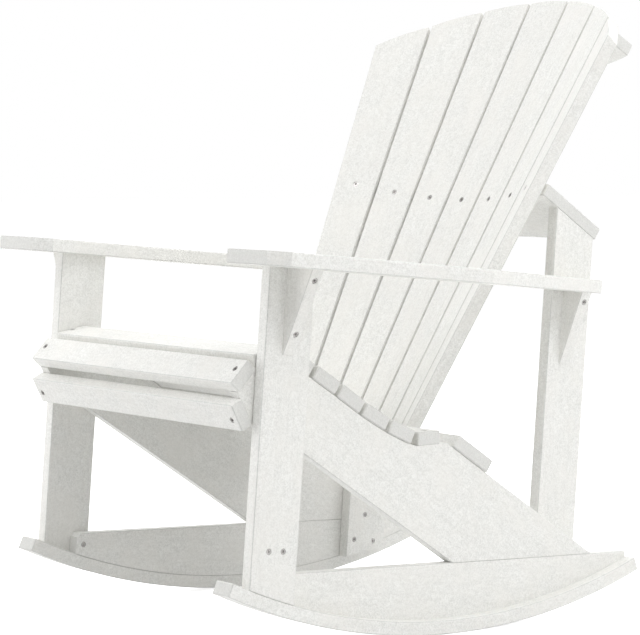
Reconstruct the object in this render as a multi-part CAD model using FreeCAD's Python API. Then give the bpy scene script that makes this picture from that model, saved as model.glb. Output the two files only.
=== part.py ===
import FreeCAD, Part
import math
import os

# A rocking armchair with a fan back, screwed together from flat boards of one thickness.
# All sizes are in millimetres and all angles in degrees.
# The chair is modelled level: X across, Y to the rear from the front legs' front faces,
# Z up from the lowest point of the runners. The last section leans it back to where it rests.
# The left side is the sitter's left, which is +X. The right side is its mirror image.

V = FreeCAD.Vector

# Boards
BOARD_T = 22.2
EDGE_EASE = 2.5
CONTACT_GAP = 1.0

# Runners and the rocker boards on them
ROCK_RADIUS = 1100.0
ROCK_CENTRE_Y = 344.2
RUNNER_FRONT_Y = -38.0
RUNNER_REAR_Y = 799.0
WEB_FRONT_Y = 49.5
WEB_REAR_SETBACK = 2.0
WEB_TOP_FRONT_Z = 97.4
WEB_TOP_SLOPE = 2.3
WEB_REAR_ROUND = 10.0
WEB_FRONT_CLIP = 7.0

# Seat frame
FRAME_W = 570.6
STRINGER_SLOPE = 28.9
STRINGER_H = 155.0

# Seat boards, from the lower nose board over the nose and back to the fan
# Each row: name, width, tilt, and the gap to the board before it, at their nearest corners
SEAT_START_Y = -19.1
SEAT_START_Z = 314.7
SEAT_BOARDS = [
    ("seat_slat_nose_lower", 45.3, 121.5, 0.0),
    ("seat_slat_nose_upper", 46.2, 50.8, 9.9),
    ("seat_slat_1", 55.9, 14.9, 0.4),
    ("seat_slat_2", 51.7, -27.5, 3.1),
    ("seat_slat_3", 50.6, -28.3, 5.0),
    ("seat_slat_4", 51.6, -29.5, 5.6),
    ("seat_slat_5", 52.9, -25.6, 4.4),
    ("seat_slat_6", 49.8, -20.1, 5.6),
    ("seat_slat_7", 44.6, 5.0, 5.5),
]
NOSE_OVERHANG = 4.0
SEAT_OVERHANG = 2.5
TONGUE_GAP = 5.0
STRINGER_HEEL = 18.0

# Legs
LEG_W = 85.5
REAR_LEG_Y = 605.0
REAR_LEG_W = 84.0
REAR_LEG_TOP_Z = 692.0

# Arms: half widths from the middle of the chair, height at the front legs' front faces
ARM_UNDER_Z = 565.0
ARM_SLOPE = 0.84
ARM_FRONT_Y = -63.6
ARM_OUTER_X = 411.2
ARM_INNER_X = 256.8
ARM_CLIP = 26.6
ARM_BEND_Y = 169.0
ARM_TAPER_Y = 350.0
ARM_REAR_Y = 687.4
ARM_REAR_W = 34.5
ARM_REAR_ROUND = 14.0

# Triangular brackets under the arms
BRACKET_FRONT_SETBACK = 31.9
BRACKET_FRONT_W = 63.0
BRACKET_FRONT_H = 131.0
BRACKET_REAR_SETBACK = 24.8
BRACKET_REAR_W = 46.2
BRACKET_REAR_H = 120.0
BRACKET_TIP = 2.0

# Fan back: flat tapered slats on a cone, given at two heights on their front faces
SLAT_COUNT = 7
FAN_STEP = 10.626
FAN_LOW_Z = 322.4
FAN_LOW_Y = 440.3
FAN_LOW_R = 312.6
FAN_HIGH_Z = 965.9
FAN_HIGH_Y = 746.4
FAN_HIGH_R = 509.0
SLAT_GAP = 4.2
SLAT_FOOT_Z = 257.0
BACK_TOP_Z = 1062.2
BACK_TOP_RADIUS = 420.0

# Rails behind the slats
LOW_RAIL_W = 84.0
LOW_RAIL_SETBACK = 12.0
MID_RAIL_W = 138.0
MID_RAIL_SLOPE = 29.1
MID_RAIL_OVERHANG = 37.0
TOP_RAIL_SPAN = 491.8
TOP_RAIL_W = 40.0
TOP_RAIL_DROP = 68.8
TOP_RAIL_END_GAP = 4.5

# Screws
SHANK_D = 4.5
HEAD_D = 9.4
HEAD_H = 3.0
HEAD_SINK = 1.0
DRIVE_D = 5.0
DRIVE_DEPTH = 2.0
DRIVE_SIDES = 6
DRIVE_TURN = V(0.3, 0.5, 0.8)
TIP_L = 5.0
TIP_END_D = 0.9
BORE_CLEAR = 0.15
HEAD_CLEAR = 0.3
BORE_END = 0.5
BORE_OUT = 8.0
SCREW_SHORT = 20.0
SCREW_PLATE = 41.0
SCREW_LONG = 55.0
SCREW_EDGE = 60.0

# Places of the screws. Shares are of the length or width of the board they go through
NOSE_SCREW_SHIFT = 4.0
MID_SCREW_DROP = 8.0
MID_SCREW_TILT = 21.0
RUNNER_SCREW_SHARES = (0.2, 0.5, 0.75)
RAIL_SCREW_SHARES = (0.6, 0.85)
ARM_SCREW_SHARES = (0.22, 0.78)
LEG_SCREW_SHARES = (0.3, 0.7)
TOP_SCREW_SHARE = 0.9
STRINGER_SCREW_RISE = 18.0
WEB_SCREW_Y = 63.5
WEB_SCREW_DROP = 19.0
FRONT_LEG_SCREW_Z = 136.0
FRONT_LEG_SCREW_Y = 31.0
FRONT_LEG_SCREW_PITCH = 27.0
# Brackets: drop below the arm and length, square to the sloping edge
BRACKET_FRONT_SCREWS = [(17.0, SCREW_LONG), (99.5, SCREW_PLATE)]
BRACKET_REAR_SCREWS = [(16.5, SCREW_EDGE)]
# Rear leg: steps to the rear of the leg's middle and up from the rocker board's top edge
REAR_LEG_SCREWS = [(-5.0, 8.4), (-26.0, -36.4), (16.8, -39.2)]

# Densities in kilograms per cubic metre, for the balance
BOARD_DENSITY = 950.0
SCREW_DENSITY = 7900.0

# A rounding takes at most this share of the wall beside it
ROUND_SHARE = 0.4

# Tolerance for edges that run in the same direction
PARALLEL = 1e-5

# Values that follow from the sizes above
frame_x = FRAME_W / 2
inner_x = frame_x - BOARD_T
leg_out_x = frame_x + BOARD_T
rear_leg_in_x = inner_x - BOARD_T
joint_x = frame_x - BOARD_T / 2
rock_z = ROCK_RADIUS
runner_top_r = ROCK_RADIUS - BOARD_T
rear_leg_end_y = REAR_LEG_Y + REAR_LEG_W
top_rail_z = BACK_TOP_Z - TOP_RAIL_DROP
beyond = 2 * ROCK_RADIUS


def direction(angle):
    """Unit vector in the YZ plane, at an angle up from +Y."""
    return V(0, math.cos(math.radians(angle)), math.sin(math.radians(angle)))


def side_board(points, x_from, x_to):
    """Board with an outline of (y, z) points, from one X to the other."""
    corners = [V(x_from, y, z) for y, z in points]
    face = Part.Face(Part.makePolygon(corners + corners[:1]))
    return face.extrude(V(x_to - x_from, 0, 0))


def flat_prism(corners, along):
    """Prism on a flat outline of 3-D corners."""
    face = Part.Face(Part.makePolygon(corners + corners[:1]))
    return face.extrude(along)


def eased(shape, edges):
    """Board with some of its edges rounded."""
    return shape.makeFillet(EDGE_EASE, edges)


def edges_along(shape, way):
    """Straight edges of a shape that run in one direction."""
    chosen = []
    for edge in shape.Edges:
        if edge.Curve.TypeId != "Part::GeomLine":
            continue
        if abs(edge.tangentAt(edge.FirstParameter).dot(way)) > 1 - PARALLEL:
            chosen.append(edge)
    return chosen


def edges_across(shape, way):
    """Edges of a shape that run square to one direction."""
    chosen = []
    for edge in shape.Edges:
        middle = (edge.FirstParameter + edge.LastParameter) / 2
        if abs(edge.tangentAt(middle).dot(way)) < PARALLEL:
            chosen.append(edge)
    return chosen


def inward_of(run):
    """Way into a board that lies across the chair, from the direction of its face."""
    return V(0, run.z, -run.y)


def eased_box(half, start, run, width):
    """Board across the chair: its face starts at a point and runs in a direction."""
    a = V(-half, start.y, start.z)
    b = a + run * width
    depth = inward_of(run) * BOARD_T
    box = flat_prism([a, b, b + depth, a + depth], V(2 * half, 0, 0))
    return eased(box, box.Edges)


def disc_across(radius):
    """Disc as wide as the chair, about the centre of the rocking arc."""
    base = V(-FRAME_W, ROCK_CENTRE_Y, rock_z)
    return Part.makeCylinder(radius, 2 * FRAME_W, base, V(1, 0, 0))


def on_line(point, run, y):
    """Height of a line through a point at a given Y."""
    return point.z + (y - point.y) * run.z / run.y


def meet(point_a, run_a, point_b, run_b):
    """Point where two lines in the YZ plane cross."""
    slope_a = run_a.z / run_a.y
    slope_b = run_b.z / run_b.y
    y = (point_b.z - point_a.z + slope_a * point_a.y - slope_b * point_b.y) / (slope_a - slope_b)
    return V(0, y, on_line(point_a, run_a, y))


# Rocking arc
rock_centre = V(0, ROCK_CENTRE_Y, rock_z)
runner_space = disc_across(ROCK_RADIUS)
above_runner = disc_across(runner_top_r)


def arc_angle(y, radius):
    """Angle from straight down, at the centre of the rocking arc."""
    return math.asin((y - ROCK_CENTRE_Y) / radius)


def runner():
    """Curved strip two boards wide, with ends cut square to the arc."""
    reach = 2 * ROCK_RADIUS
    points = [(ROCK_CENTRE_Y, rock_z)]
    for y in (RUNNER_FRONT_Y, RUNNER_REAR_Y):
        angle = arc_angle(y, ROCK_RADIUS)
        points.append((ROCK_CENTRE_Y + reach * math.sin(angle), rock_z - reach * math.cos(angle)))
    wedge = side_board(points, inner_x, leg_out_x)
    board = wedge.common(runner_space).cut(above_runner)
    return eased(board, board.Edges)


web_run = direction(WEB_TOP_SLOPE)
web_line = V(0, WEB_FRONT_Y, WEB_TOP_FRONT_Z)
web_rear_y = ROCK_CENTRE_Y + runner_top_r * math.sin(arc_angle(RUNNER_REAR_Y, ROCK_RADIUS)) - WEB_REAR_SETBACK


def runner_top(y):
    """Height of the runner's top face."""
    return rock_z - math.sqrt(runner_top_r ** 2 - (y - ROCK_CENTRE_Y) ** 2)


def nearest_edge(shape, point):
    """Edge whose middle is nearest to a point."""
    return min(shape.Edges, key=lambda edge: (edge.CenterOfMass - point).Length)


def web_top(y):
    """Height of the rocker board's top edge."""
    return on_line(web_line, web_run, y)


def web():
    """Rocker board that stands on the runner and carries the stringer."""
    points = [
        (WEB_FRONT_Y, 0),
        (web_rear_y, 0),
        (web_rear_y, web_top(web_rear_y)),
        (WEB_FRONT_Y + WEB_FRONT_CLIP, web_top(WEB_FRONT_Y + WEB_FRONT_CLIP)),
        (WEB_FRONT_Y, web_top(WEB_FRONT_Y) - WEB_FRONT_CLIP),
    ]
    board = side_board(points, inner_x, frame_x).common(above_runner)
    corner = V(joint_x, web_rear_y, web_top(web_rear_y))
    end_h = web_top(web_rear_y) - runner_top(web_rear_y)
    board = board.makeFillet(min(WEB_REAR_ROUND, ROUND_SHARE * end_h), [nearest_edge(board, corner)])
    return eased(board, edges_along(board, web_run))


class SeatBoard:
    """Place of one seat board: the line of its face and the corners under it."""

    def __init__(self, name, width, run, start):
        self.name = name
        self.width = width
        self.run = run
        self.inward = inward_of(run)
        self.start = start
        self.end = start + run * width
        self.under_start = start + self.inward * BOARD_T
        self.under_end = self.end + self.inward * BOARD_T
        self.middle = (self.start + self.end) / 2


def seat_chain():
    """Places of the seat boards, each a gap beyond the nearest corner of the last one."""
    start = V(0, SEAT_START_Y, SEAT_START_Z)
    chain = []
    for name, width, tilt, gap in SEAT_BOARDS:
        run = direction(tilt)
        if chain:
            last = chain[-1]
            turns_down = last.run.y * run.z - last.run.z * run.y < 0
            if turns_down:
                start = last.under_end + last.run * gap - inward_of(run) * BOARD_T
            else:
                start = last.end + last.run * gap
        chain.append(SeatBoard(name, width, run, start))
    return chain


seat = seat_chain()
heel_run = direction(-STRINGER_SLOPE)
heel_normal = V(0, -heel_run.z, heel_run.y)
back_board = seat[-1]

# The stringer's rear edge starts behind the last seat board and runs down to the rocker board
slope_top = back_board.under_end + back_board.run * STRINGER_HEEL
heel = meet(slope_top, heel_run, web_line, web_run)
slope_under = slope_top - heel_normal * STRINGER_H
toe = meet(slope_under, heel_run, web_line, web_run)
stringer_nose = seat[0].under_start
belly_back = (stringer_nose.z - slope_under.z) * heel_run.y / heel_run.z
belly = V(0, slope_under.y + belly_back, stringer_nose.z)


def stringer():
    """Side board of the seat: its top edge follows the undersides of the seat boards."""
    points = []
    for board in seat:
        points.append((board.under_start.y, board.under_start.z))
        points.append((board.under_end.y, board.under_end.z))
    for point in (slope_top, heel, toe, belly):
        points.append((point.y, point.z))
    board = side_board(points, inner_x, frame_x)
    return eased(board, edges_along(board, heel_run))


# Underside of the arms, which slope a little to the rear
arm_run = direction(-ARM_SLOPE)
arm_up = V(0, -arm_run.z, arm_run.y)
arm_line = V(0, 0, ARM_UNDER_Z)


def arm_under(y):
    """Height of the arm's underside."""
    return on_line(arm_line, arm_run, y)


def front_leg():
    """Upright board outside the stringer, standing on the runner."""
    points = [(0, 0), (LEG_W, 0), (LEG_W, arm_under(LEG_W)), (0, arm_under(0))]
    board = side_board(points, frame_x, leg_out_x)
    return eased(board, edges_along(board, V(0, 0, 1))).common(above_runner)


mid_run = direction(-MID_RAIL_SLOPE)
mid_normal = V(0, -mid_run.z, mid_run.y)
leg_top = V(0, REAR_LEG_Y, REAR_LEG_TOP_Z)


def rear_leg():
    """Upright board inside the stringer, cut to the slope of the middle rail."""
    points = [
        (REAR_LEG_Y, 0),
        (rear_leg_end_y, 0),
        (rear_leg_end_y, on_line(leg_top, mid_run, rear_leg_end_y)),
        (REAR_LEG_Y, REAR_LEG_TOP_Z),
    ]
    board = side_board(points, rear_leg_in_x, inner_x)
    return eased(board, edges_along(board, V(0, 0, 1))).common(above_runner)


def arm():
    """Arm board: clipped front corners and a taper to the rear leg."""
    rear_x = inner_x + ARM_REAR_W
    corners = [
        (ARM_INNER_X, ARM_FRONT_Y + ARM_CLIP),
        (ARM_INNER_X + ARM_CLIP, ARM_FRONT_Y),
        (ARM_OUTER_X - ARM_CLIP, ARM_FRONT_Y),
        (ARM_OUTER_X, ARM_FRONT_Y + ARM_CLIP),
        (ARM_OUTER_X, ARM_TAPER_Y),
        (rear_x, ARM_REAR_Y),
        (inner_x, ARM_REAR_Y),
        (inner_x, REAR_LEG_Y),
        (ARM_INNER_X, ARM_BEND_Y),
    ]
    board = flat_prism([V(x, y, arm_under(y)) for x, y in corners], arm_up * BOARD_T)
    corner = V(rear_x, ARM_REAR_Y, arm_under(ARM_REAR_Y)) + arm_up * (BOARD_T / 2)
    radius = min(ARM_REAR_ROUND, ROUND_SHARE * ARM_REAR_W)
    board = board.makeFillet(radius, [nearest_edge(board, corner)])
    return eased(board, edges_across(board, arm_up))


def bracket(x_from, y_from, width, height):
    """Triangular board under the arm, with a blunt tip."""
    top_z = arm_under(y_from)
    slope = height / (width - BRACKET_TIP)
    x_back = x_from - BOARD_T
    x_out = x_from + width
    corners = [
        V(x_back, y_from, top_z),
        V(x_out, y_from, top_z),
        V(x_back, y_from, top_z - (x_out - x_back) * slope),
    ]
    board = flat_prism(corners, arm_run * (BOARD_T / arm_run.y))
    board = eased(board, edges_along(board, V(1, 0, slope).normalize()))
    keep = Part.makeBox(width, 2 * BOARD_T, 2 * height, V(x_from, y_from, top_z - height))
    return board.common(keep)


# Fan back
def fan_point(edge, z):
    """Point of the fan's front at slat edge 0 to SLAT_COUNT, at height z."""
    share = (z - FAN_LOW_Z) / (FAN_HIGH_Z - FAN_LOW_Z)
    radius = FAN_LOW_R + share * (FAN_HIGH_R - FAN_LOW_R)
    front_y = FAN_LOW_Y + share * (FAN_HIGH_Y - FAN_LOW_Y)
    angle = math.radians((edge - SLAT_COUNT / 2) * FAN_STEP)
    return V(radius * math.sin(angle), front_y - radius * (1 - math.cos(angle)), z)


class SlatPlane:
    """Plane of one back slat: its level direction, its length and its way to the rear."""

    def __init__(self, number):
        self.number = number
        self.low = (fan_point(number, SLAT_FOOT_Z) + fan_point(number + 1, SLAT_FOOT_Z)) / 2
        high = (fan_point(number, BACK_TOP_Z) + fan_point(number + 1, BACK_TOP_Z)) / 2
        self.across = (fan_point(number + 1, SLAT_FOOT_Z) - fan_point(number, SLAT_FOOT_Z)).normalize()
        self.up = (high - self.low).normalize()
        self.rear = self.up.cross(self.across).normalize()

    def centre(self, z):
        """Point on the middle line of the front face at height z."""
        return (fan_point(self.number, z) + fan_point(self.number + 1, z)) / 2


slats = [SlatPlane(number) for number in range(SLAT_COUNT)]
back_rise = FAN_HIGH_Z - FAN_LOW_Z
back_run = FAN_HIGH_Y - FAN_LOW_Y
recline = math.degrees(math.atan(back_run / back_rise))
back_up = direction(90 - recline)
back_rear = direction(-recline)
back_top = V(0, FAN_HIGH_Y + (BACK_TOP_Z - FAN_HIGH_Z) * back_run / back_rise, BACK_TOP_Z)


def above_crown():
    """Everything above the arc that crowns the back."""
    half = 2 * BACK_TOP_RADIUS
    centre = back_top - back_up * BACK_TOP_RADIUS
    start = centre - V(half, 0, 0) - back_rear * half
    across = V(2 * half, 0, 0)
    corners = [start, start + across, start + across + back_up * half, start + back_up * half]
    block = flat_prism(corners, back_rear * (2 * half))
    drum = Part.makeCylinder(BACK_TOP_RADIUS, 2 * half, centre - back_rear * half, back_rear)
    return block.cut(drum)


crown_cut = above_crown()


def back_slat(plane):
    """One flat slat of the fan, tapered to its foot and cut by the crown arc."""
    top_z = BACK_TOP_Z + BOARD_T
    inset = plane.across * (SLAT_GAP / 2)
    corners = [
        fan_point(plane.number, SLAT_FOOT_Z) + inset,
        fan_point(plane.number + 1, SLAT_FOOT_Z) - inset,
        fan_point(plane.number + 1, top_z) - inset,
        fan_point(plane.number, top_z) + inset,
    ]
    board = flat_prism(corners, plane.rear * BOARD_T).cut(crown_cut)
    return eased(board, board.Edges)


def fan_space():
    """Everything in front of the slats' rear faces, which the rails are cut around."""
    reach = FRAME_W
    low = SLAT_FOOT_Z - BOARD_T
    block = Part.makeBox(2 * reach, 2 * BACK_TOP_Z, BACK_TOP_Z, V(-reach, -reach, low))
    for plane in slats:
        centre = plane.low + plane.rear * BOARD_T
        start = centre - plane.across * beyond - plane.up * beyond
        corners = [
            start,
            start + plane.across * (2 * beyond),
            start + plane.across * (2 * beyond) + plane.up * (2 * beyond),
            start + plane.up * (2 * beyond),
        ]
        block = block.cut(flat_prism(corners, plane.rear * beyond))
    return block


in_fan = fan_space()


def seat_board(place):
    """Seat board on the stringers. It stands out past them, except between the front legs."""
    overhang = SEAT_OVERHANG if place.start.y > LEG_W else -CONTACT_GAP
    if "nose" in place.name:
        overhang = NOSE_OVERHANG
    return eased_box(frame_x + overhang, place.start, place.run, place.width)


def tongue():
    """Middle of the last seat board, which runs back to the foot of the fan."""
    under_z = back_board.under_end.z
    middle = fan_point(SLAT_COUNT / 2, under_z)
    side = fan_point(0, under_z)
    half_turn = math.radians(SLAT_COUNT * FAN_STEP / 2)
    ring_r = side.x / -math.sin(half_turn)
    radius = ring_r * math.cos(math.radians(FAN_STEP / 2)) - TONGUE_GAP
    centre = V(0, middle.y - ring_r, under_z - BOARD_T)
    drum = Part.makeCylinder(radius, 3 * BOARD_T, centre, V(0, 0, 1))
    run = back_board.run
    reach = middle.y - back_board.start.y
    half = frame_x - CONTACT_GAP
    start = V(-half, back_board.start.y, back_board.start.z)
    across = V(2 * half, 0, 0)
    corners = [start, start + across, start + across + run * reach, start + run * reach]
    sheet = flat_prism(corners, back_board.inward * BOARD_T)
    keep = Part.makeBox(2 * half, reach, 3 * BOARD_T, V(-half, back_board.middle.y, under_z - BOARD_T))
    return sheet.common(drum).common(keep)


low_rail_start = slope_top + heel_run * LOW_RAIL_SETBACK + heel_normal * BOARD_T
mid_rail_start = leg_top - mid_run * MID_RAIL_OVERHANG + mid_normal * BOARD_T


def low_rail():
    """Rail on the stringers' sloping rear edges, cut around the feet of the slats."""
    board = eased_box(frame_x + SEAT_OVERHANG, low_rail_start, heel_run, LOW_RAIL_W)
    return board.cut(in_fan)


def mid_rail():
    """Rail on top of the rear legs, cut around the slats."""
    board = eased_box(inner_x, mid_rail_start, mid_run, MID_RAIL_W)
    return board.cut(in_fan)


def outer_rear_y(x, z):
    """Y of the outermost slat's rear face at a given X and Z."""
    plane = slats[-1]
    on_face = plane.low + plane.rear * BOARD_T
    ahead = (x - on_face.x) * plane.rear.x + (z - on_face.z) * plane.rear.z
    return on_face.y - ahead / plane.rear.y


# The top rail's straight front line ends a small gap behind the outermost slats
top_plane = V(0, outer_rear_y(TOP_RAIL_SPAN / 2, top_rail_z) + TOP_RAIL_END_GAP, top_rail_z)
fan_back_y = FAN_HIGH_Y + BOARD_T / math.cos(math.radians(recline))
top_middle = meet(top_plane, back_rear, V(0, fan_back_y, FAN_HIGH_Z), back_up)


def top_rail():
    """Arched band behind the slats near their tops, square to them."""
    half = TOP_RAIL_SPAN / 2
    end_rear = top_plane + back_rear * TOP_RAIL_W
    mid_rear = top_middle + back_rear * TOP_RAIL_W
    left = V(half, end_rear.y, end_rear.z)
    right = V(-half, end_rear.y, end_rear.z)
    front_left = V(half, top_plane.y, top_plane.z)
    front_right = V(-half, top_plane.y, top_plane.z)
    edges = [
        Part.makeLine(front_right, front_left),
        Part.makeLine(front_left, left),
        Part.Arc(left, mid_rear, right).toShape(),
        Part.makeLine(right, front_right),
    ]
    band = Part.Face(Part.Wire(edges)).extrude(back_up * -BOARD_T)
    return eased(band, band.Edges).cut(in_fan)


# Screws: each place is a point on a board's surface, the way in, and the length below it
def both_sides(point, way, length):
    """The same screw on the left and right side."""
    return [
        (point, way, length),
        (V(-point.x, point.y, point.z), V(-way.x, way.y, way.z), length),
    ]


def seat_screws():
    """One screw at each end of every seat board, into the stringer's edge."""
    places = []
    shifts = {seat[0].name: -NOSE_SCREW_SHIFT, seat[1].name: NOSE_SCREW_SHIFT}
    for board in seat:
        point = board.middle + board.run * shifts.get(board.name, 0.0)
        places += both_sides(V(joint_x, point.y, point.z), board.inward, SCREW_LONG)
    return places


def rail_edge_screws(plane, rail_run, rail_top, depth_below):
    """Screw through one slat's front into a rail's edge, along the rail's plane."""
    rail_normal = V(0, -rail_run.z, rail_run.y)
    way = plane.rear - rail_normal * plane.rear.dot(rail_normal)
    way.normalize()
    target = rail_top - rail_normal * depth_below
    low = plane.low
    high = plane.centre(BACK_TOP_Z)
    share = (target - low).dot(rail_normal) / (high - low).dot(rail_normal)
    return (low + (high - low) * share, way, SCREW_LONG)


def mid_screws():
    """One screw in each slat into the middle rail, on a flatter line than the rail's slope."""
    places = []
    centre_y = slats[SLAT_COUNT // 2].centre(REAR_LEG_TOP_Z).y
    steeper = math.tan(math.radians(MID_RAIL_SLOPE)) - math.tan(math.radians(MID_SCREW_TILT))
    for plane in slats:
        ahead = centre_y - plane.centre(REAR_LEG_TOP_Z).y
        drop = MID_SCREW_DROP + ahead * steeper * mid_run.y
        places.append(rail_edge_screws(plane, mid_run, mid_rail_start, drop))
    return places


def low_screws():
    """One screw in each slat into the lower rail, below the seat."""
    return [rail_edge_screws(plane, heel_run, low_rail_start, BOARD_T / 2) for plane in slats]


def top_screws():
    """One screw through the top rail's rear edge into each slat."""
    places = []
    half = TOP_RAIL_SPAN / 2
    end_rear = top_plane + back_rear * TOP_RAIL_W
    bow = (top_middle - top_plane).dot(back_rear)
    arc_r = (half ** 2 + bow ** 2) / (2 * bow)
    centre = end_rear + back_rear * (bow - arc_r) - back_up * (BOARD_T / 2)
    for plane in slats:
        aim = plane.rear - back_up * plane.rear.dot(back_up)
        aim.normalize()
        middle = plane.centre(top_rail_z - BOARD_T)
        reach = min(TOP_SCREW_SHARE * half, abs(middle.x))
        offset = math.copysign(reach, plane.low.x) if abs(plane.low.x) > BOARD_T else 0.0
        point = centre + V(offset, 0, 0) + back_rear * math.sqrt(arc_r ** 2 - offset ** 2)
        places.append((point, aim * -1, SCREW_EDGE - BOARD_T / 2))
    return places


def rail_end_screws(x, start, run, width):
    """Two screws down through each end of a rail."""
    places = []
    normal = V(0, -run.z, run.y)
    for share in RAIL_SCREW_SHARES:
        point = start + run * (width * share)
        places += both_sides(V(x, point.y, point.z), normal * -1, SCREW_LONG)
    return places


def front_leg_screws():
    """Pair of short screws low on each front leg's outer face."""
    places = []
    for y in (FRONT_LEG_SCREW_Y, FRONT_LEG_SCREW_Y + FRONT_LEG_SCREW_PITCH):
        places += both_sides(V(leg_out_x, y, FRONT_LEG_SCREW_Z), V(-1, 0, 0), SCREW_SHORT)
    return places


def rear_leg_screws():
    """Three screws through each rear leg, one into the stringer and two into the rocker board."""
    places = []
    middle = REAR_LEG_Y + REAR_LEG_W / 2
    for back, rise in REAR_LEG_SCREWS:
        point = V(rear_leg_in_x, middle + back, web_top(middle) + rise)
        places += both_sides(point, V(1, 0, 0), SCREW_PLATE)
    return places


def stringer_screws():
    """Two screws through each stringer into the front leg."""
    places = []
    for share in LEG_SCREW_SHARES:
        point = V(inner_x, share * LEG_W, stringer_nose.z + STRINGER_SCREW_RISE)
        places += both_sides(point, V(1, 0, 0), SCREW_PLATE)
    return places


def web_screws():
    """One screw through each rocker board's front end into the front leg."""
    point = V(inner_x, WEB_SCREW_Y, WEB_TOP_FRONT_Z - WEB_SCREW_DROP)
    return both_sides(point, V(1, 0, 0), SCREW_PLATE)


def runner_screws():
    """Three screws up through each runner into the rocker board."""
    places = []
    for share in RUNNER_SCREW_SHARES:
        y = RUNNER_FRONT_Y + share * (RUNNER_REAR_Y - RUNNER_FRONT_Y)
        angle = arc_angle(y, ROCK_RADIUS)
        way = V(0, -math.sin(angle), math.cos(angle))
        point = V(joint_x, y, rock_z - ROCK_RADIUS * math.cos(angle))
        places += both_sides(point, way, SCREW_LONG)
    return places


def arm_front_screws():
    """Two screws down through each arm into the front leg."""
    places = []
    leg_x = frame_x + BOARD_T / 2
    for share in ARM_SCREW_SHARES:
        y = share * LEG_W
        point = V(leg_x, y, arm_under(y)) + arm_up * BOARD_T
        places += both_sides(point, arm_up * -1, SCREW_LONG)
    return places


def arm_rear_screws():
    """Two screws through each rear leg into the edge of the arm."""
    places = []
    for share in LEG_SCREW_SHARES:
        y = REAR_LEG_Y + share * REAR_LEG_W
        point = V(rear_leg_in_x, y, arm_under(y) + BOARD_T / 2)
        places += both_sides(point, V(1, 0, 0), SCREW_PLATE)
    return places


def bracket_screws(x_from, y_from, width, height, drops):
    """Screws square to a bracket's sloping edge, the upper ones into the arm."""
    places = []
    rise = V(width - BRACKET_TIP, 0, height)
    way = V(-height, 0, width - BRACKET_TIP).normalize()
    for drop, length in drops:
        point = V(x_from + width, y_from + BOARD_T / 2, arm_under(y_from)) - rise * (drop / height)
        places += both_sides(point, way, length)
    return places


def screw(place):
    """Screw with a flat round head and a six-sided drive."""
    point, way, length = place
    seat_point = point + way * (HEAD_SINK + HEAD_H)
    shank_l = length - HEAD_SINK - HEAD_H - TIP_L
    head = Part.makeCylinder(HEAD_D / 2, HEAD_H, point + way * HEAD_SINK, way)
    shank = Part.makeCylinder(SHANK_D / 2, shank_l, seat_point, way)
    tip = Part.makeCone(SHANK_D / 2, TIP_END_D / 2, TIP_L, seat_point + way * shank_l, way)
    side = way.cross(DRIVE_TURN).normalize()
    other = way.cross(side)
    corners = []
    for corner in range(DRIVE_SIDES):
        angle = 2 * math.pi * corner / DRIVE_SIDES
        spoke = side * math.cos(angle) + other * math.sin(angle)
        corners.append(point + way * HEAD_SINK + spoke * (DRIVE_D / 2))
    drive = flat_prism(corners, way * DRIVE_DEPTH)
    return head.cut(drive).fuse(shank).fuse(tip).removeSplitter()


def bore(place):
    """Counterbore and hole that one screw needs."""
    point, way, length = place
    sink_l = BORE_OUT + HEAD_SINK + HEAD_H
    sink = Part.makeCylinder(HEAD_D / 2 + HEAD_CLEAR, sink_l, point - way * BORE_OUT, way)
    hole = Part.makeCylinder(SHANK_D / 2 + BORE_CLEAR, length + BORE_END, point, way)
    return sink.fuse(hole)


mid_leg_x = inner_x - BOARD_T / 2
bracket_front = (leg_out_x, BRACKET_FRONT_SETBACK, BRACKET_FRONT_W, BRACKET_FRONT_H)
bracket_rear = (inner_x, REAR_LEG_Y + BRACKET_REAR_SETBACK, BRACKET_REAR_W, BRACKET_REAR_H)

screw_groups = {
    "screws_seat": seat_screws(),
    "screws_back_middle": mid_screws(),
    "screws_back_lower": low_screws(),
    "screws_back_top": top_screws(),
    "screws_lower_rail": rail_end_screws(joint_x, low_rail_start, heel_run, LOW_RAIL_W),
    "screws_middle_rail": rail_end_screws(mid_leg_x, mid_rail_start, mid_run, MID_RAIL_W),
    "screws_front_legs": front_leg_screws(),
    "screws_rear_legs": rear_leg_screws(),
    "screws_stringers": stringer_screws(),
    "screws_rocker_boards": web_screws(),
    "screws_runners": runner_screws(),
    "screws_arms_front": arm_front_screws(),
    "screws_arms_rear": arm_rear_screws(),
    "screws_brackets_front": bracket_screws(*bracket_front, BRACKET_FRONT_SCREWS),
    "screws_brackets_rear": bracket_screws(*bracket_rear, BRACKET_REAR_SCREWS),
}

bores = [bore(place) for places in screw_groups.values() for place in places]


def drilled(board):
    """Board with the holes of every screw that reaches it."""
    near = [hole for hole in bores if board.BoundBox.intersect(hole.BoundBox)]
    if near:
        board = board.cut(near)
    return board.removeSplitter()


# Pieces
boards = {}


def add_pair(name, shape):
    """Left piece and its mirror image on the right."""
    boards[name + "_left"] = shape
    boards[name + "_right"] = shape.mirror(V(0, 0, 0), V(1, 0, 0))


add_pair("runner", runner())
add_pair("rocker_board", web())
add_pair("front_leg", front_leg())
add_pair("rear_leg", rear_leg())
add_pair("seat_stringer", stringer())
add_pair("arm", arm())
add_pair("arm_bracket_front", bracket(*bracket_front))
add_pair("arm_bracket_rear", bracket(*bracket_rear))
for place in seat:
    boards[place.name] = seat_board(place)
boards[back_board.name] = boards[back_board.name].fuse(tongue())
for plane in slats:
    boards["back_slat_%d" % (plane.number + 1)] = back_slat(plane)
boards["rail_lower"] = low_rail()
boards["rail_middle"] = mid_rail()
boards["rail_top"] = top_rail()

pieces = {}
for name, shape in boards.items():
    pieces[name] = drilled(shape)
for name, places in screw_groups.items():
    pieces[name] = Part.makeCompound([screw(place) for place in places])

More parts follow.
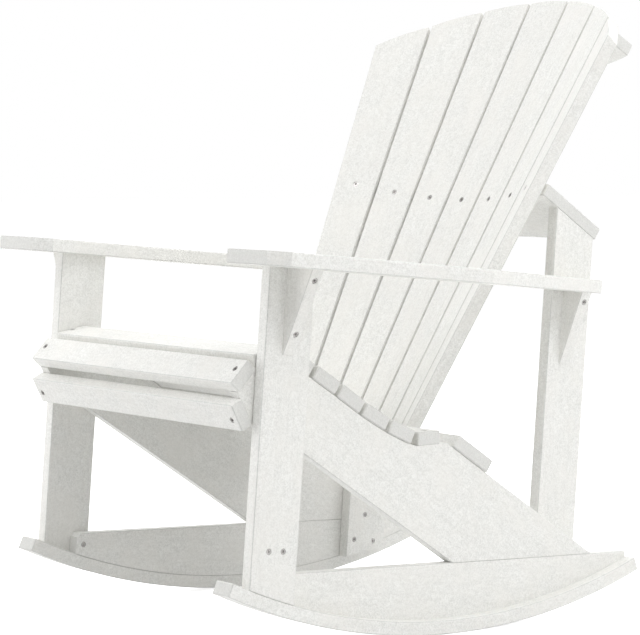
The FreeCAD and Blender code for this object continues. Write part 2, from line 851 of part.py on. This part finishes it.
# Balance: the chair rests with its centre of mass under the centre of the rocking arc
mass = 0.0
moment = V(0, 0, 0)
for name, shape in pieces.items():
    density = BOARD_DENSITY if name in boards else SCREW_DENSITY
    for solid in shape.Solids:
        mass += solid.Volume * density
        moment += solid.CenterOfMass * (solid.Volume * density)
balance = moment / mass
lean = math.degrees(math.atan2(balance.y - ROCK_CENTRE_Y, rock_z - balance.z))
print("mass kg", round(mass * 1e-9, 2), "balance", balance, "lean", round(lean, 3))

# Lean the chair back, then put the origin under the middle of its outline
for shape in pieces.values():
    shape.rotate(rock_centre, V(1, 0, 0), -lean)
outline = Part.makeCompound(list(pieces.values())).optimalBoundingBox(False, False)
shift = V(0, -(outline.YMin + outline.YMax) / 2, 0)
print("size", outline.XLength, outline.YLength, outline.ZLength, "lowest", outline.ZMin, "shift", shift.y)

os.makedirs("parts", exist_ok=True)
for name, shape in pieces.items():
    shape.translate(shift)
    shape.exportStep("parts/" + name + ".step")
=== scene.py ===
import math

import bpy
from mathutils import Matrix, Vector


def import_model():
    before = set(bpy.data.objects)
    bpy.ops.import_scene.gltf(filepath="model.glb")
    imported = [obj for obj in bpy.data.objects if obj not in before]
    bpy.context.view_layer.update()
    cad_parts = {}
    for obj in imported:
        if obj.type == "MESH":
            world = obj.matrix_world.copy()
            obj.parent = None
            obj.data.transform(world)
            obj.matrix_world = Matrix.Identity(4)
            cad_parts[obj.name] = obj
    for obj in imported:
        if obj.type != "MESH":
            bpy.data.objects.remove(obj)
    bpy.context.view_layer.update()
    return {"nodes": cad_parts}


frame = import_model()
nodes = frame["nodes"]

# The camera and the directions of the boards are given on the chair as it stands level.
# The chair leans back about the centre of its rocking arc, and they lean with it.
LEAN = math.radians(4.235)
ROCK_CENTRE = Vector((0, 0.3442, 1.100))
SHIFT = Vector((0, -0.34622, 0))

# Camera, with the focal length and the picture's centre in pixels
CAMERA_AT = Vector((3.59474, -2.37862, 0.56419))
CAMERA_AZIMUTH = math.radians(53.132)
CAMERA_ELEVATION = math.radians(0.685)
CAMERA_ROLL = math.radians(3.695)
IMAGE_W = 640
IMAGE_H = 635
FOCAL_PX = 2711.81
CENTRE_U = 314.60
CENTRE_V = 302.14
SENSOR = 36.0
CLIP_END = 200.0

# Light and floor
WHITE_LIGHT = (1, 1, 1, 1)
WORLD_LEVEL = 0.31
BACKGROUND = 1.0
FLOOR_SIZE = 60.0
FLOOR_TONE = 0.85
FLOOR_LIFT = 0.76
LAMP_AIM = (0, 0, 0.5)
# Soft boxes round the chair: name, place, side length, power in watts
LAMPS = [
    ("top_front_light", (0.0, -2.8, 3.8), 2.4, 52),
    ("top_right_light", (2.8, 0.0, 3.8), 2.4, 52),
    ("top_rear_light", (0.0, 2.6, 4.0), 2.4, 76),
    ("right_rear_light", (3.6, 3.6, 2.4), 2.4, 46),
    ("right_light", (5.0, 0.3, 1.8), 2.4, 28),
    ("front_left_light", (-3.2, -3.2, 3.4), 2.4, 31),
    ("front_left_low_light", (-3.6, -3.6, 1.0), 2.0, 52),
    ("left_light", (-5.0, 0.0, 2.2), 2.4, 31),
    ("rear_left_light", (-3.4, 3.4, 3.0), 2.4, 38),
]

# Directions of the boards
STRINGER_SLOPE = math.radians(28.9)
RECLINE = math.radians(25.5)
MIDDLE_SLAT = 4
FAN_SPREAD = math.radians(5.1)
FAN_TURN = math.radians(10.6)
# Tilt of the boards that run across the chair, in degrees up to the rear
TILTS = {
    "seat_slat_nose_lower": 121.5,
    "seat_slat_nose_upper": 50.8,
    "seat_slat_1": 14.9,
    "seat_slat_2": -27.5,
    "seat_slat_3": -28.3,
    "seat_slat_4": -29.5,
    "seat_slat_5": -25.6,
    "seat_slat_6": -20.1,
    "seat_slat_7": 5.0,
    "rail_lower": -28.9,
    "rail_middle": -29.1,
    "rail_top": -25.5,
}

# Colours of the boards
WHITE = (0.965, 0.965, 0.94)
SHADE = (0.70, 0.70, 0.67)
WARM = (0.87, 0.855, 0.815)
WARM_SHARE = 0.5
SAWN = (0.78, 0.78, 0.755)
SAWN_DARK = (0.69, 0.69, 0.665)
# Painted shade on the rounded corners: its dark tone, its largest share, and how far out from them it
# reaches
ARRIS_SHADE = (0.40, 0.40, 0.39)
ARRIS_SHADE_SHARE = 0.5
ARRIS_SHADE_REACH = 0.8

# Noises of the boards, with scales in cells per metre
SPECK_SCALE = 430.0
FLECK_SCALE = 180.0
STREAK_SCALE = 260.0
BAND_SCALE = 60.0
CLOUD_SCALE = 17.0
SAW_SCALE = 420.0
FINE_DETAIL = 3.0
FINE_ROUGHNESS = 0.6
FLECK_WARP = 0.5
# Streaks and bands are drawn out along the board, and each board has its own part of the noise
STREAK_STRETCH = (0.14, 1.0, 1.0)
SEED_STEP = (1.37, 0.61, 0.29)
# For each noise the value that is darkest, the value that is lightest, and its share of the mottling
SPECK_GREY = (0.38, 0.62, 0.46)
FLECK_GREY = (0.36, 0.64, 0.26)
STREAK_GREY = (0.34, 0.66, 0.18)
BAND_GREY = (0.3, 0.7, 0.10)
# Values of a noise where its effect begins and where it is full
CLOUD_RANGE = (0.4, 0.7)
WIDE_RANGE = (0.3, 0.7)
# Cosine of the normal's angle to the board's length, where a sawn end begins and where it is full
END_RANGE = (0.80, 0.93)

# Surface of the boards. A relief is its strength and its depth in metres
BOARD_ROUGHNESS = (0.42, 0.58)
END_ROUGHNESS = 0.2
BOARD_IOR = 1.5
STREAK_HEIGHT = 0.6
SPECK_HEIGHT = 0.5
FLECK_HEIGHT = 0.6
SAW_HEIGHT = 0.8
BOARD_RELIEF = (0.7, 0.001)

# Steel of the screws
STEEL = (0.42, 0.41, 0.40)
STEEL_STAIN = (0.30, 0.29, 0.28)
STAIN_SCALE = 160.0
STAIN_RANGE = (0.4, 0.65)
TURNED_SCALE = 900.0
STEEL_ROUGHNESS = (0.25, 0.45)
STEEL_RELIEF = (0.3, 0.0002)

lean_turn = Matrix.Rotation(-LEAN, 4, "X")


def leaned(point):
    """Point of the level chair, where it is on the chair at rest."""
    return lean_turn @ (point - ROCK_CENTRE) + ROCK_CENTRE + SHIFT


def leaned_way(way):
    """Direction on the level chair, turned as the chair leans."""
    return (lean_turn.to_3x3() @ way).normalized()


# Materials
class Nodes:
    """Short names for making and joining the shader nodes of one material or world."""

    def __init__(self, material):
        material.use_nodes = True
        self.tree = material.node_tree
        self.tree.nodes.clear()

    def add(self, kind, **values):
        node = self.tree.nodes.new(kind)
        for name, value in values.items():
            setattr(node, name, value)
        return node

    def join(self, source, target):
        self.tree.links.new(source, target)

    def math(self, operation, first, second=None, third=None):
        node = self.add("ShaderNodeMath", operation=operation)
        for socket, value in zip(node.inputs, (first, second, third)):
            if value is None:
                continue
            if isinstance(value, (int, float)):
                socket.default_value = value
            else:
                self.join(value, socket)
        return node.outputs[0]

    def noise(self, vector, scale, detail=2.0, roughness=0.5, distortion=0.0):
        node = self.add("ShaderNodeTexNoise")
        node.inputs["Scale"].default_value = scale
        node.inputs["Detail"].default_value = detail
        node.inputs["Roughness"].default_value = roughness
        node.inputs["Distortion"].default_value = distortion
        self.join(vector, node.inputs["Vector"])
        return node.outputs["Fac"]

    def ramp(self, value, low, high, to_low=0.0, to_high=1.0):
        node = self.add("ShaderNodeMapRange")
        node.inputs["From Min"].default_value = low
        node.inputs["From Max"].default_value = high
        node.inputs["To Min"].default_value = to_low
        node.inputs["To Max"].default_value = to_high
        self.join(value, node.inputs["Value"])
        return node.outputs["Result"]

    def mix(self, share, first, second):
        node = self.add("ShaderNodeMix", data_type="RGBA")
        self.join(share, node.inputs["Factor"])
        for socket, value in ((node.inputs["A"], first), (node.inputs["B"], second)):
            if isinstance(value, tuple):
                socket.default_value = (*value, 1.0)
            else:
                self.join(value, socket)
        return node.outputs["Result"]

    def along(self, normal, way):
        """Cosine of the angle between the surface's normal and a direction."""
        node = self.add("ShaderNodeVectorMath", operation="DOT_PRODUCT")
        self.join(normal, node.inputs[0])
        node.inputs[1].default_value = way.normalized()
        return node.outputs["Value"]

    def relief(self, shader, height, strength, depth):
        """Raise and lower a shader's surface by a height."""
        bump = self.add("ShaderNodeBump")
        bump.inputs["Strength"].default_value = strength
        bump.inputs["Distance"].default_value = depth
        self.join(height, bump.inputs["Height"])
        self.join(bump.outputs["Normal"], shader.inputs["Normal"])

    def show(self, surface, kind="ShaderNodeOutputMaterial"):
        """Join a surface to the output of the material or world."""
        out = self.add(kind)
        self.join(surface, out.inputs["Surface"])


def board_material(name, along, flat, seed):
    """Off-white plastic lumber, brushed along its length, with sawn ends and painted shade on the
    rounded corners.
    """
    material = bpy.data.materials.new(name)
    make = Nodes(material)
    coords = make.add("ShaderNodeTexCoord")
    turn = along.normalized().rotation_difference(Vector((1, 0, 0))).to_euler()
    place = make.add("ShaderNodeMapping")
    place.inputs["Rotation"].default_value = turn
    place.inputs["Location"].default_value = [seed * step for step in SEED_STEP]
    make.join(coords.outputs["Object"], place.inputs["Vector"])
    spot = place.outputs["Vector"]
    stretch = make.add("ShaderNodeMapping")
    stretch.inputs["Scale"].default_value = STREAK_STRETCH
    make.join(spot, stretch.inputs["Vector"])
    strand = stretch.outputs["Vector"]

    speck = make.noise(spot, SPECK_SCALE, detail=FINE_DETAIL, roughness=FINE_ROUGHNESS)
    fleck = make.noise(spot, FLECK_SCALE, distortion=FLECK_WARP)
    streak = make.noise(strand, STREAK_SCALE, detail=FINE_DETAIL, roughness=FINE_ROUGHNESS)
    band = make.noise(strand, BAND_SCALE)
    cloud = make.noise(spot, CLOUD_SCALE)
    saw = make.noise(spot, SAW_SCALE)

    greys = ((speck, SPECK_GREY), (fleck, FLECK_GREY), (streak, STREAK_GREY), (band, BAND_GREY))
    grey = 0.0
    for noise, (low, high, share) in greys:
        grey = make.math("MULTIPLY_ADD", make.ramp(noise, low, high), share, grey)
    colour = make.mix(grey, SHADE, WHITE)
    colour = make.mix(make.ramp(cloud, *CLOUD_RANGE, 0.0, WARM_SHARE), colour, WARM)

    # Sawn ends
    lengthwise = make.along(coords.outputs["Normal"], along)
    end = make.ramp(make.math("ABSOLUTE", lengthwise), *END_RANGE)
    sawn = make.mix(make.ramp(saw, *WIDE_RANGE), SAWN_DARK, SAWN)
    colour = make.mix(end, colour, sawn)

    # Painted shade on the rounded corners: away is 1 on the broad faces and on the edges, and 0 halfway
    # between them
    square = make.along(coords.outputs["Normal"], flat)
    away = make.math("MULTIPLY_ADD", make.math("MULTIPLY", square, square), 2.0, -1.0)
    away = make.math("ABSOLUTE", away)
    arris_shade = make.ramp(away, 0.0, ARRIS_SHADE_REACH, ARRIS_SHADE_SHARE, 0.0)
    # The corners' darker tone is painted shade, not a colour of the plastic
    colour = make.mix(arris_shade, colour, ARRIS_SHADE)

    shader = make.add("ShaderNodeBsdfPrincipled")
    make.join(colour, shader.inputs["Base Color"])
    rough = make.ramp(speck, *WIDE_RANGE, *BOARD_ROUGHNESS)
    rough = make.math("ADD", rough, make.math("MULTIPLY", end, END_ROUGHNESS))
    make.join(rough, shader.inputs["Roughness"])
    shader.inputs["IOR"].default_value = BOARD_IOR
    height = make.math("MULTIPLY", streak, STREAK_HEIGHT)
    height = make.math("ADD", height, make.math("MULTIPLY", speck, SPECK_HEIGHT))
    height = make.math("ADD", height, make.math("MULTIPLY", fleck, FLECK_HEIGHT))
    height = make.math("ADD", height, make.math("MULTIPLY", make.math("MULTIPLY", saw, end), SAW_HEIGHT))
    make.relief(shader, height, *BOARD_RELIEF)
    make.show(shader.outputs["BSDF"])
    return material


def steel_material():
    """Stainless steel of the screws, turned and slightly stained."""
    material = bpy.data.materials.new("screw_steel")
    make = Nodes(material)
    coords = make.add("ShaderNodeTexCoord")
    turned = make.noise(coords.outputs["Object"], TURNED_SCALE, detail=FINE_DETAIL)
    stain = make.noise(coords.outputs["Object"], STAIN_SCALE)
    shader = make.add("ShaderNodeBsdfPrincipled")
    make.join(make.mix(make.ramp(stain, *STAIN_RANGE), STEEL, STEEL_STAIN), shader.inputs["Base Color"])
    shader.inputs["Metallic"].default_value = 1.0
    make.join(make.ramp(turned, *WIDE_RANGE, *STEEL_ROUGHNESS), shader.inputs["Roughness"])
    make.relief(shader, turned, *STEEL_RELIEF)
    make.show(shader.outputs["BSDF"])
    return material


ACROSS = Vector((1, 0, 0))
UPRIGHT = leaned_way(Vector((0, 0, 1)))
REARWARD = leaned_way(Vector((0, 1, 0)))
DOWN_BACK = leaned_way(Vector((0, math.cos(STRINGER_SLOPE), -math.sin(STRINGER_SLOPE))))


def from_middle(name):
    """Number of a back slat, counted from the middle one."""
    return int(name.split("_")[-1]) - MIDDLE_SLAT


def grain(name):
    """Direction that a board runs in, by what it is."""
    if name.startswith("back_slat"):
        spread = from_middle(name) * FAN_SPREAD
        return leaned_way(Vector((math.sin(spread), math.sin(RECLINE), math.cos(RECLINE))))
    if name.startswith(("seat_slat", "rail")):
        return ACROSS
    if name.startswith(("front_leg", "rear_leg", "arm_bracket")):
        return UPRIGHT
    if name.startswith("seat_stringer"):
        return DOWN_BACK
    return REARWARD


def face(name):
    """Direction square to a board's broad faces, by what it is."""
    if name.startswith("back_slat"):
        turn = from_middle(name) * FAN_TURN
        level = math.cos(RECLINE)
        return leaned_way(Vector((-math.sin(turn) * level, -math.cos(turn) * level, math.sin(RECLINE))))
    if name in TILTS:
        tilt = math.radians(TILTS[name])
        return leaned_way(Vector((0, -math.sin(tilt), math.cos(tilt))))
    if name.startswith("arm_bracket"):
        return REARWARD
    if name.startswith("arm"):
        return UPRIGHT
    return ACROSS


steel = steel_material()
for count, name in enumerate(sorted(nodes)):
    thing = nodes[name]
    if name.startswith("screws"):
        material = steel
    else:
        material = board_material("plastic_" + name, grain(name), face(name), count + 1)
    thing.data.materials.clear()
    thing.data.materials.append(material)


# Studio
def camera():
    """Camera at the photograph's place, in front of the chair on the sitter's left."""
    across = Vector((math.cos(CAMERA_AZIMUTH), math.sin(CAMERA_AZIMUTH), 0))
    ahead = Vector((-math.sin(CAMERA_AZIMUTH), math.cos(CAMERA_AZIMUTH), 0))
    ahead = ahead * math.cos(CAMERA_ELEVATION) - Vector((0, 0, math.sin(CAMERA_ELEVATION)))
    up = across.cross(ahead)
    right = across * math.cos(CAMERA_ROLL) + up * math.sin(CAMERA_ROLL)
    up = right.cross(ahead)
    data = bpy.data.cameras.new("camera")
    data.sensor_width = SENSOR
    data.sensor_fit = "HORIZONTAL"
    data.lens = FOCAL_PX / IMAGE_W * SENSOR
    data.shift_x = (IMAGE_W / 2 - CENTRE_U) / IMAGE_W
    data.shift_y = (CENTRE_V - IMAGE_H / 2) / IMAGE_W
    data.clip_end = CLIP_END
    thing = bpy.data.objects.new("camera", data)
    bpy.context.scene.collection.objects.link(thing)
    turn = Matrix((leaned_way(right), leaned_way(up), leaned_way(-ahead))).transposed()
    thing.matrix_world = Matrix.Translation(leaned(CAMERA_AT)) @ turn.to_4x4()
    bpy.context.scene.camera = thing


def lamp(name, at, aim, size, power):
    """Square soft box at one point, turned to another."""
    data = bpy.data.lights.new(name, "AREA")
    data.shape = "SQUARE"
    data.size = size
    data.energy = power
    thing = bpy.data.objects.new(name, data)
    bpy.context.scene.collection.objects.link(thing)
    thing.location = at
    thing.rotation_euler = (Vector(aim) - Vector(at)).to_track_quat("-Z", "Y").to_euler()


def seen_directly(make):
    """1 on rays from the camera, off gloss or through glass, and 0 on the rays that light the object."""
    path = make.add("ShaderNodeLightPath")
    seen = make.math("MAXIMUM", path.outputs["Is Camera Ray"], path.outputs["Is Glossy Ray"])
    return make.math("MAXIMUM", seen, path.outputs["Is Transmission Ray"])


def world():
    """White backdrop, with a plain pale light on the object."""
    scene_world = bpy.data.worlds.new("studio")
    bpy.context.scene.world = scene_world
    make = Nodes(scene_world)
    ambient = make.add("ShaderNodeBackground")
    ambient.inputs["Color"].default_value = WHITE_LIGHT
    ambient.inputs["Strength"].default_value = WORLD_LEVEL
    white = make.add("ShaderNodeBackground")
    white.inputs["Color"].default_value = WHITE_LIGHT
    white.inputs["Strength"].default_value = BACKGROUND
    blend = make.add("ShaderNodeMixShader")
    make.join(seen_directly(make), blend.inputs["Fac"])
    make.join(ambient.outputs["Background"], blend.inputs[1])
    make.join(white.outputs["Background"], blend.inputs[2])
    make.show(blend.outputs["Shader"], "ShaderNodeOutputWorld")


def floor():
    """Pale floor, lifted to the white of the backdrop where the chair doesn't shade it."""
    mesh = bpy.data.meshes.new("floor")
    half = FLOOR_SIZE / 2
    corners = [(-half, -half, 0), (half, -half, 0), (half, half, 0), (-half, half, 0)]
    mesh.from_pydata(corners, [], [(0, 1, 2, 3)])
    thing = bpy.data.objects.new("floor", mesh)
    bpy.context.scene.collection.objects.link(thing)
    material = bpy.data.materials.new("floor")
    make = Nodes(material)
    matt = make.add("ShaderNodeBsdfDiffuse")
    matt.inputs["Color"].default_value = (FLOOR_TONE, FLOOR_TONE, FLOOR_TONE, 1)
    lift = make.add("ShaderNodeEmission")
    lift.inputs["Color"].default_value = WHITE_LIGHT
    level = make.math("MULTIPLY", seen_directly(make), FLOOR_LIFT)
    make.join(level, lift.inputs["Strength"])
    both = make.add("ShaderNodeAddShader")
    make.join(matt.outputs["BSDF"], both.inputs[0])
    make.join(lift.outputs["Emission"], both.inputs[1])
    make.show(both.outputs["Shader"])
    mesh.materials.append(material)


camera()
world()
floor()
for lamp_name, lamp_at, lamp_size, lamp_power in LAMPS:
    lamp(lamp_name, lamp_at, LAMP_AIM, lamp_size, lamp_power)
bpy.context.scene.view_settings.view_transform = "Standard"
